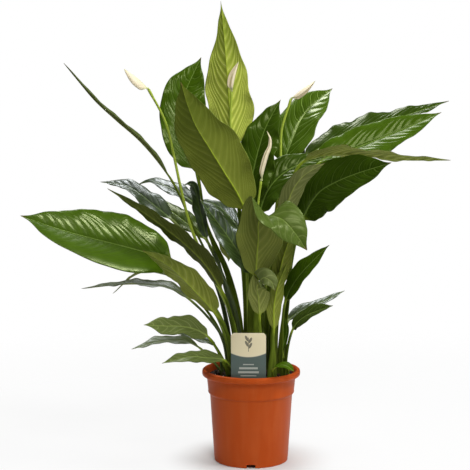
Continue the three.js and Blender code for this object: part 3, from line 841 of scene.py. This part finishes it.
class PEACELILY_OT_soil(Operator):
    """Fills the pot with lumpy soil, loose crumbs and white grains"""

    bl_idname = "peacelily.soil"
    bl_label = "Potting Soil"

    def execute(self, context):
        look = context.scene.peacelily_soil
        top_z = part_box("potting_soil")[1].z
        crown, edge = top_z + 1.5 * MM, top_z - look.slope
        outer, rings = 74.6 * MM, 44
        top = [(outer * i / rings, crown) for i in range(rings + 1)]
        profile = top + [(outer, edge - 6 * MM), (70 * MM, 120 * MM), (61 * MM, 10 * MM), (0, 10 * MM)]
        shape = spun(profile, 150)
        for v in shape.verts:
            if v.co.z > crown - 1 * MM:
                v.co.z = soil_height(v.co.x, v.co.y, crown, edge, look.relief)
        keep_piece("soil_bed", shape, potting_earth(look), ["potting_soil"])

        rng = np.random.default_rng(11)
        for name, count, material, small, large in (
            ("soil_crumbs", look.crumbs, crumb_earth(look), 0.8, 3.4),
            ("soil_grains", look.grains, drainage_grain(look), 0.7, 1.7),
        ):
            shape = bmesh.new()
            layer = shape.verts.layers.float.new("crumb")
            for _ in range(count):
                far, angle = 73 * MM * math.sqrt(rng.uniform(0.02, 1)), rng.uniform(0, 2 * math.pi)
                x, y = far * math.cos(angle), far * math.sin(angle)
                size = rng.uniform(small, large) * MM
                made = bmesh.ops.create_icosphere(shape, subdivisions=1, radius=size)["verts"]
                bmesh.ops.scale(shape, verts=made, vec=tuple(rng.uniform(0.45, 1.25, 3)))
                turn = Euler(tuple(rng.uniform(0, 3.1, 3))).to_matrix()
                bmesh.ops.rotate(shape, verts=made, cent=(0, 0, 0), matrix=turn)
                height = soil_height(x, y, crown, edge, look.relief)
                kind = rng.uniform(0, 1) ** 2
                for v in made:
                    v.co *= 1 + 0.22 * noise.noise(v.co * 900 + Vector((x, y, 0)) * 4000)
                    v.co += Vector((x, y, height + size * 0.25))
                    v[layer] = kind
            keep_piece(name, shape, material, flat=True)
        return {"FINISHED"}


STAKE_TIP = 12 * MM
CARD_ROUNDING = 0.18 * MM


class PEACELILY_OT_label(Operator):
    """Builds the blank two-tone label: a card with round upper corners on a pointed stake"""

    bl_idname = "peacelily.label"
    bl_label = "Plant Label"

    def execute(self, context):
        look = context.scene.peacelily_label
        low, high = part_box("plant_label")
        middle, bottom = (low.x + high.x) / 2, high.z - look.card
        half_stake = look.stake_width / 2
        shape = bmesh.new()
        bmesh.ops.create_grid(shape, x_segments=3, y_segments=8, size=0.5)
        columns = [low.x, middle - half_stake, middle + half_stake, high.x]
        for v in shape.verts:
            column, row = round((v.co.x + 0.5) * 3), v.co.y + 0.5
            v.co = (columns[column], low.y, bottom + row * look.card)
        foot = [e for e in shape.edges if e.is_boundary
                and all(abs(v.co.z - bottom) < TOUCH for v in e.verts)
                and all(abs(v.co.x - middle) < half_stake * 1.01 for v in e.verts)]
        for level, width in ((low.z + STAKE_TIP, 1.0), (low.z, 0.02)):
            foot = bmesh.ops.extrude_edge_only(shape, edges=foot)["geom"]
            for v in only(bmesh.types.BMVert, foot):
                v.co = (middle + math.copysign(half_stake * width, v.co.x - middle), low.y, level)
            foot = only(bmesh.types.BMEdge, foot)
        corners = [v for v in shape.verts if abs(v.co.z - high.z) < TOUCH
                   and min(abs(v.co.x - low.x), abs(v.co.x - high.x)) < TOUCH]
        rounded(shape, corners, look.corner, 8, "VERTICES")
        made = bmesh.ops.extrude_face_region(shape, geom=list(shape.faces))["geom"]
        bmesh.ops.translate(shape, verts=only(bmesh.types.BMVert, made), vec=(0, high.y - low.y, 0))
        bmesh.ops.recalc_face_normals(shape, faces=shape.faces)
        edges = [e for e in shape.edges if len(e.link_faces) == 2 and e.calc_face_angle(0) > math.radians(60)]
        rounded(shape, edges, CARD_ROUNDING)
        keep_piece("plant_label_card", shape, label_print(look, (low, high)), ["plant_label"],
                   crease=35)
        return {"FINISHED"}


# ---- Leaves ----

STALK_ROW, COLUMN = 7 * MM, 1.3 * MM  # length of a row on a stalk, width of a column on a blade
FEWEST, MOST = 9, 34  # columns in a quarter of a leaf's section


def leaf_shape(node, traits, look, seed):
    """One leaf: a grooved, sheathed stalk that opens into a pleated blade with a keeled midrib.

    s runs from 0 at the neck to 1 at the tip, t from 0 at the soil to 1 at the neck, and q from 0 at
    the midrib to 1 at the margin."""
    rng = np.random.default_rng(seed)
    grown = Growth(node, "leaf")
    blade_length = grown.length - grown.neck
    blade_rows = max(60, int(blade_length / look.row))
    stalk_rows = max(14, int(grown.neck / STALK_ROW))
    columns = 4 * int(np.clip(grown.half.max() / COLUMN, FEWEST, MOST))
    at = np.concatenate([np.linspace(0, grown.neck, stalk_rows, endpoint=False),
                         grown.neck + blade_length * np.linspace(0, 1, blade_rows) ** 1.08])[:, None]
    s = (at - grown.neck) / blade_length
    t = np.clip(at / grown.neck, 0, 1)
    half, rise, stem = (through(grown.knots, of, at[:, 0])[:, None]
                        for of in (grown.half, grown.rise, grown.thick))
    half, rise, stem = np.maximum(half, LEAST_HALF), np.maximum(rise, 0), np.maximum(stem, LEAST_HALF)
    knee = 0.14 * np.exp(-(((at - grown.neck) + 10 * MM) / (7 * MM)) ** 2)
    stem = np.where(s <= 0, stem * (1 + knee), stem)
    drip = 1 - 0.45 * smoothstep(s, 0.86, 0.975) * (1 - smoothstep(s, 0.985, 1.0))
    fuller = traits["full"] * np.exp(-(((s - 0.76) / 0.16) ** 2))
    half = half * np.where(s > 0, drip * (1 + fuller), 1)
    opened = smoothstep(s, 0.0, 0.075)

    angle, place, side = round_columns(columns)
    q = np.abs(place)
    side_of = np.where(place >= 0, 1.0, -1.0)
    turn = rng.uniform(0, 2 * math.pi, 8)
    bulge = [traits["edge"] * (0.045 * np.sin(11 * s + turn[i]) + 0.03 * np.sin(27 * s + turn[i + 1]))
             for i in (4, 6)]
    outline = 1 + np.where(side_of > 0, bulge[0], bulge[1]) * smoothstep(s, 0.05, 0.2)
    x_blade = place * half * outline
    ribs = max(7, round(blade_length / look.rib_spacing))
    sweep = 0.3 * q + 0.2 * q**2.5
    rib = (s - sweep) / (1 - sweep) * ribs + 0.42 * (side_of < 0) + rng.uniform(0, 1)
    rib = rib + 0.16 * np.sin(rib * 1.7 + rng.uniform(0, 6)) * smoothstep(q, 0.0, 0.3)

    inside = smoothstep(q, 0.02, 0.3) * (1 - 0.8 * smoothstep(q, 0.7, 1.0))
    inside = inside * (smoothstep(s, 0.03, 0.2) * (1 - smoothstep(s, 0.8, 0.98)))
    rough_half = 1 - np.clip(traits["calm"] * side_of, 0, 1)
    pleat = traits["pleat"] * MM * (np.abs(np.sin(math.pi * rib)) ** 0.8 - 0.55) * inside * rough_half
    spread = rng.uniform(52, 78) * MM
    cycles = 2 * math.pi * (s * blade_length)
    waves = np.where(side_of > 0, np.sin(cycles / spread + turn[0]),
                     np.sin(cycles / (spread * 1.17) + turn[1]))
    ripple = np.where(side_of > 0, np.sin(cycles / (spread * 0.37) + turn[2]),
                      np.sin(cycles / (spread * 0.41) + turn[3]))
    envelope = smoothstep(s, 0.04, 0.25) * (1 - smoothstep(s, 0.82, 1.0))
    wave = traits["wave"] * half * envelope * rough_half * (q**2 * waves + 0.28 * q**3 * ripple)
    fold = rise * q * (1.3 - 0.3 * q**2) - 0.07 * half * q**4 * envelope
    keel = np.exp(-((x_blade / (stem * 1.05 + 0.25 * MM)) ** 2))
    sheet = look.thickness / 2 * (1 - 0.55 * q**2)
    top = sheet - 0.55 * stem * keel * (1 - 0.4 * s.clip(0, 1))
    bottom = sheet + 0.95 * stem * keel
    z_blade = fold + pleat + wave + np.where(side > 0, top, np.where(side < 0, -bottom, 0.0))

    sheath = 1 - smoothstep(t, 0.3, 0.9)
    x_stalk = stem * np.cos(angle) * (1 + 0.75 * sheath)
    groove = np.maximum(np.sin(angle), 0) ** 3 * stem * (0.25 + 0.75 * sheath)
    z_stalk = stem * np.sin(angle) - groove
    x = x_stalk + (x_blade - x_stalk) * opened
    z = z_stalk + (z_blade - z_stalk) * opened
    marks = {"across": place, "along": np.where(s > 0, s, t - 1), "rib": rib, "reach": x,
             "upper": 0.5 + 0.5 * side, "blade": opened,
             **{name: traits[name] for name in ("tone", "pale", "grey", "veined")}}
    return grown.wrap(at[:, 0], x, z, marks)


class PEACELILY_OT_leaves(Operator):
    """Builds every leaf round the frame's leaf of the same name"""

    bl_idname = "peacelily.leaves"
    bl_label = "Leaves"

    def execute(self, context):
        look = context.scene.peacelily_leaf
        waxy = leaf_skin(look, "waxy_leaf", 0.18, (0.86, 0.96, 0.45), 0.02)
        silvery = leaf_skin(look, "silvery_leaf", 0.9, (0.88, 0.93, 1.0), 0.14)
        polished = leaf_skin(look, "polished_leaf", 0.38, (0.9, 1.0, 0.5), 0.04)
        names = sorted(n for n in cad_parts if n.startswith("leaf_"))
        for seed, node in enumerate(names):
            traits = {**PLAIN_LOOK, **LEAF_LOOK.get(node.removeprefix("leaf_"), {})}
            shape = leaf_shape(node, traits, look, seed)
            skin = silvery if node in SILVERY else polished if node in POLISHED else waxy
            keep_piece(node.replace("leaf_", "lily_leaf_"), shape, skin, [node])
        return {"FINISHED"}


# ---- Flowers ----


INTO_HOOD = 4 * MM  # how far a flower stalk runs on past the frame's


def flower_stalk_shape(node):
    """A slim round stalk, a little ribbed, that swells under its hood."""
    grown = Growth(node, "stalk")
    at = np.linspace(0, grown.length + INTO_HOOD, max(40, int(grown.length / (4 * MM))))
    t = at / grown.length
    radius = through(grown.knots, grown.thick, np.minimum(at, grown.length)) * 0.86
    radius = radius * (1 + 0.3 * smoothstep(t, 0.965, 0.99))
    angle = turns(20)
    reach = radius[:, None] * (1 + 0.035 * np.cos(5 * angle))
    return grown.tube(at, reach, {"across": np.cos(angle), "along": t[:, None]})


def spathe_shape(node, seed):
    """A white hood: a thin blade folded along its spine, its margins curling round the spike."""
    rng = np.random.default_rng(seed)
    grown = Growth(node, "spathe")
    at = grown.length * np.linspace(0, 1, 70)[:, None] ** 1.05
    s = at / grown.length
    half, rise = (through(grown.knots, of, at[:, 0])[:, None] for of in (grown.half, grown.rise))
    half = np.maximum(np.maximum(half, LEAST_HALF) * 0.98, 2.4 * MM * (1 - smoothstep(s, 0.05, 0.4)))
    rise = np.maximum(rise, 0) * 0.8
    foot = 2.5 * MM * (1 - smoothstep(s, 0.0, 0.3)) + 0.2 * MM
    opened = smoothstep(s, 0.0, 0.1)
    angle, place, side = round_columns(48)
    q = np.abs(place)
    x_hood = np.sign(place) * half * np.sin(q * math.pi / 2) * (1 - 0.16 * q**4)
    sheet = 0.32 * MM * (1 - 0.5 * q**2)
    keel = 0.5 * MM * np.exp(-((place / 0.07) ** 2)) * (1 - 0.7 * s)
    frill = 0.03 * half * q**2 * np.sin(s * 7 + rng.uniform(0, 6))
    skin = np.where(side > 0, sheet, np.where(side < 0, -(sheet + keel), 0.0))
    z_hood = rise * q**1.7 + frill + skin
    x_foot, z_foot = foot * np.cos(angle), foot * np.sin(angle)
    x = x_foot + (x_hood - x_foot) * opened
    z = z_foot + (z_hood - z_foot) * opened
    return grown.wrap(at[:, 0], x, z, {"across": place, "along": s, "upper": 0.5 + 0.5 * side})


def spike_shape(node):
    """The spike: small rounded flowers packed in spirals round a tapering core."""
    grown = Growth(node, "spadix")
    at = np.linspace(0, grown.length, 110)
    t = at / grown.length
    radius = through(grown.knots, grown.thick, at) * np.sqrt(np.clip(1 - (2 * t - 1) ** 8, 0.0, 1))
    angle = turns(40)
    pitch = at[:, None] / (1.5 * MM)
    knob = np.abs(np.sin(4 * angle + pitch * 1.6)) * np.abs(np.sin(4 * angle - pitch * 1.6))
    return grown.tube(at, radius[:, None] * (0.44 + 0.06 * knob**0.6), {"knob": knob})


class PEACELILY_OT_flowers(Operator):
    """Builds the flowers: each has a stalk, a white hood and a spike"""

    bl_idname = "peacelily.flowers"
    bl_label = "Flowers"

    def execute(self, context):
        look = context.scene.peacelily_flower
        kinds = {
            "stalk": (flower_stalk_shape, flower_stalk_skin(look), "flower_stalk"),
            "spathe": (spathe_shape, spathe_skin(look), "spathe"),
            "spadix": (spike_shape, spike_skin(look), "spadix"),
        }
        for seed, node in enumerate(sorted(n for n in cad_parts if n.startswith("flower_"))):
            flower, part = node.removeprefix("flower_").split("_")
            make, skin, slot = kinds[part]
            shape = make(node, seed) if part == "spathe" else make(node)
            keep_piece(f"lily_{part}_{flower}", shape, skin, [node])
        return {"FINISHED"}


# ---- Stage ----


PLANT_MIDDLE = Vector((0, 0, 0.45))
SENSOR = 36  # width in millimetres


def softbox(name, place, width, height, watts, warmth=(1.0, 1.0, 1.0)):
    """A rectangular light that faces the plant."""
    data = bpy.data.lights.new(name, "AREA")
    data.shape, data.size, data.size_y = "RECTANGLE", width, height
    data.energy, data.color = watts, warmth
    light = bpy.data.objects.new(name, data)
    light.location = place
    light.rotation_euler = (PLANT_MIDDLE - Vector(place)).to_track_quat("-Z", "Y").to_euler()
    bpy.context.scene.collection.objects.link(light)


class PEACELILY_OT_stage(Operator):
    """Lays the pale floor and sets up the soft studio light and the camera"""

    bl_idname = "peacelily.stage"
    bl_label = "Stage"

    def execute(self, context):
        scene, look = context.scene, context.scene.peacelily_stage
        shape = bmesh.new()
        bmesh.ops.create_circle(shape, cap_ends=True, segments=96, radius=look.floor_reach)
        floor = placed("studio_floor", shape)
        f = Finish("studio_floor")
        x, y, _ = f.axes(f.place())
        far = (x * x + y * y) ** 0.5
        paint = f.node("ShaderNodeBsdfDiffuse", sockets={"Color": look.floor})
        shine = f.node("ShaderNodeEmission", sockets={"Color": (1, 1, 1), "Strength": 1.0})
        seen = f.node("ShaderNodeLightPath", output="Is Camera Ray")
        paint = f.node("ShaderNodeMixShader", sockets={
            0: seen * look.floor_shine * f.step(far, 0.055, 0.16), 1: paint, 2: shine})
        clear = f.node("ShaderNodeBsdfTransparent")
        floor.data.materials.append(f.show(f.node("ShaderNodeMixShader", sockets={
            0: f.step(far, 0.45, look.floor_reach), 1: paint, 2: clear})))

        camera = bpy.data.objects.new("camera", bpy.data.cameras.new("camera"))
        camera.data.lens, camera.data.sensor_width = look.lens, SENSOR
        camera.data.clip_start, camera.data.clip_end = 0.05, 100
        camera.location = (0, -look.distance, look.height)
        camera.rotation_euler = (math.pi / 2 - look.pitch, 0, look.turn)
        scene.collection.objects.link(camera)
        scene.camera = camera

        w = Finish(bpy.data.worlds.new("surround"))
        _, y, z = w.axes(w.node("ShaderNodeTexCoord", output="Generated"))
        seen = w.node("ShaderNodeLightPath", output="Is Camera Ray")
        mirrored = w.node("ShaderNodeLightPath", output="Is Glossy Ray")
        glow = 0.5 + w.step(y, -0.2, 0.8) * 0.6 + w.step(z, 0.3, 1.0) * 0.6
        glow = look.sky * glow * (1 - mirrored * 0.9)
        scene.world = w.show(w.node("ShaderNodeBackground", sockets={
            "Color": (1, 1, 1), "Strength": seen + glow * (1 - seen)}), "World")
        softbox("key_light", (0.3, -1.8, 2.0), 0.7, 0.7, look.key)
        softbox("side_light", (2.0, -1.5, 0.9), 0.5, 1.2, look.side, (1.0, 0.98, 0.95))
        softbox("top_light", (0.85, -0.45, 1.65), 0.5, 0.2, look.top)
        softbox("back_light", (-0.25, 0.85, 1.9), 0.9, 0.5, look.back)
        scene.view_settings.view_transform = "Standard"
        return {"FINISHED"}


# ---- Add-on ---------------------------------------------------------------------------------------

STEPS = ("stage", "pot", "soil", "label", "leaves", "flowers")


class PEACELILY_PT_panel(Panel):
    """Buttons for each step, in order"""

    bl_idname = "PEACELILY_PT_panel"
    bl_label = "Peace Lily"
    bl_space_type = "VIEW_3D"
    bl_region_type = "UI"
    bl_category = "Peace Lily"

    def draw(self, context):
        for step in STEPS:
            self.layout.operator(f"peacelily.{step}")
        for key in SETTINGS:
            box = self.layout.box()
            group = getattr(context.scene, key)
            for name in group.__annotations__:
                box.prop(group, name)


SETTINGS = {
    "peacelily_pot": PotSettings,
    "peacelily_soil": SoilSettings,
    "peacelily_label": LabelSettings,
    "peacelily_leaf": LeafSettings,
    "peacelily_flower": FlowerSettings,
    "peacelily_stage": StageSettings,
}
CLASSES = (
    *SETTINGS.values(),
    PEACELILY_OT_stage,
    PEACELILY_OT_pot,
    PEACELILY_OT_soil,
    PEACELILY_OT_label,
    PEACELILY_OT_leaves,
    PEACELILY_OT_flowers,
    PEACELILY_PT_panel,
)


def register():
    for cls in CLASSES:
        bpy.utils.register_class(cls)
    for key, group in SETTINGS.items():
        setattr(bpy.types.Scene, key, PointerProperty(type=group))


def unregister():
    for key in SETTINGS:
        delattr(bpy.types.Scene, key)
    for cls in reversed(CLASSES):
        bpy.utils.unregister_class(cls)


def main():
    register()
    for step in STEPS:
        getattr(bpy.ops.peacelily, step)()


if __name__ == "__main__":
    main()
